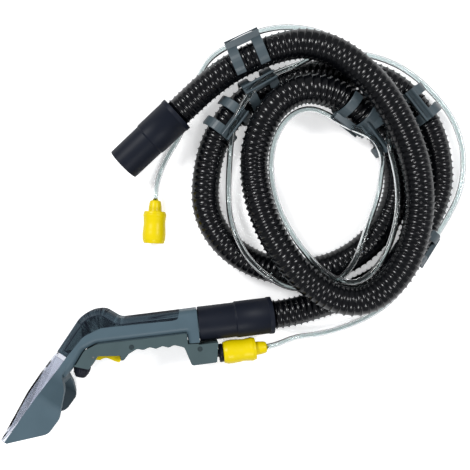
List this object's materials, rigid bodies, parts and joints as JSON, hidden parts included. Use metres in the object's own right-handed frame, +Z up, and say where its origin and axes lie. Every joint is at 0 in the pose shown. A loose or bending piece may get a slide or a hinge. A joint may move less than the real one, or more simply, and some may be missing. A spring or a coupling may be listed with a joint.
{
  "type": "spray extraction hose set with hand tool",
  "caption": "Spray-extraction hose set: an upholstery hand tool with trigger and clear suction window, on a looped ribbed hose with a clipped liquid tube, cuffs and quick couplers",
  "frame": {"origin": "Under the middle of the hand tool's bounding box, on the floor", "axes": "+X along the hand tool from its mouth towards the hose, +Y across its height towards the hose loops, +Z up from the floor"},
  "size_m": [0.6021, 0.5224, 0.1168],
  "materials": {
    "light_grey_plastic": "fine-grained moulded plastic",
    "dark_grey_plastic": "fine-grained moulded plastic",
    "grip_rubber": "soft-touch rubber",
    "clear_plastic": "clear polished plastic",
    "yellow_plastic": "semi-gloss moulded plastic",
    "black_plastic": "satin moulded plastic",
    "hose_plastic": "semi-gloss ribbed hose",
    "clip_plastic": "satin moulded clip",
    "clear_tube": "clear flexible tube",
    "steel": "bright steel",
    "brass": "turned brass",
    "seal_rubber": "black seal rubber"
  },
  "bodies": {
    "hand_tool": {"tool_body": "light_grey_plastic", "lower_cover": "dark_grey_plastic", "grip_pad": "grip_rubber", "suction_window": "clear_plastic", "trigger_pin": "steel", "valve_body": "black_plastic", "valve_spring": "steel", "front_pipe": "black_plastic", "rear_pipe": "black_plastic", "inlet_nipple": "brass", "spray_jet": "brass", "cover_screws": "steel", "tool_coupler_core": "black_plastic", "tool_coupler_seal": "seal_rubber", "tool_coupler_spring": "steel", "tool_bush": "black_plastic", "suction_hose": "hose_plastic", "machine_bush": "black_plastic", "hose_clips": "clip_plastic", "liquid_tube": "clear_tube", "machine_coupler_core": "black_plastic", "machine_coupler_seal": "seal_rubber", "machine_coupler_spring": "steel"},
    "trigger": {"trigger": "yellow_plastic"},
    "valve_stem": {"valve_stem": "brass"},
    "spray_nut": {"spray_nut": "black_plastic"},
    "tool_coupler_sleeve": {"tool_coupler_sleeve": "yellow_plastic"},
    "machine_coupler_sleeve": {"machine_coupler_sleeve": "yellow_plastic"},
    "tool_cuff": {"tool_cuff": "black_plastic"},
    "machine_cuff": {"machine_cuff": "black_plastic"}
  },
  "joints": [
    {"name": "trigger_pull", "type": "hinge", "parent": "hand_tool", "child": "trigger", "pos_m": [-0.06474, 0.01044, 0.04951], "axis": [0.0962, 0.0362, 0.9947], "range_deg": [0, 6.5], "stiffness_Nm_per_rad": 0.15, "springref_deg": -5.73},
    {"name": "valve_lift", "type": "slide", "parent": "hand_tool", "child": "valve_stem", "axis": [-0.0017, 0.9993, -0.0362], "range_m": [0, 0.00206], "deforming": ["valve_spring"]},
    {"name": "nut_turn", "type": "hinge", "parent": "hand_tool", "child": "spray_nut", "pos_m": [-0.08024, -0.00213, 0.05146], "axis": [-0.2193, -0.974, 0.0566], "range_deg": [-60, 0]},
    {"name": "tool_sleeve_pull", "type": "slide", "parent": "hand_tool", "child": "tool_coupler_sleeve", "axis": [0.9893, 0.1062, -0.0996], "range_m": [0, 0.005], "stiffness_N_per_m": 600, "springref_m": -0.004, "deforming": ["tool_coupler_spring"]},
    {"name": "machine_sleeve_pull", "type": "slide", "parent": "hand_tool", "child": "machine_coupler_sleeve", "axis": [0.0436, 0.999, 0], "range_m": [0, 0.005], "stiffness_N_per_m": 600, "springref_m": -0.004, "deforming": ["machine_coupler_spring"]},
    {"name": "tool_cuff_turn", "type": "hinge", "parent": "hand_tool", "child": "tool_cuff", "pos_m": [0.11663, 0.05399, 0.03038], "axis": [-0.9893, -0.1062, 0.0996], "continuous": true},
    {"name": "machine_cuff_turn", "type": "hinge", "parent": "hand_tool", "child": "machine_cuff", "pos_m": [0.00374, 0.29304, 0.03298], "axis": [-0.7352, -0.6752, -0.0604], "continuous": true}
  ],
  "couplings": [
    {"joint": "valve_lift", "follows": "trigger_pull", "m_per_rad": 0.018}
  ]
}
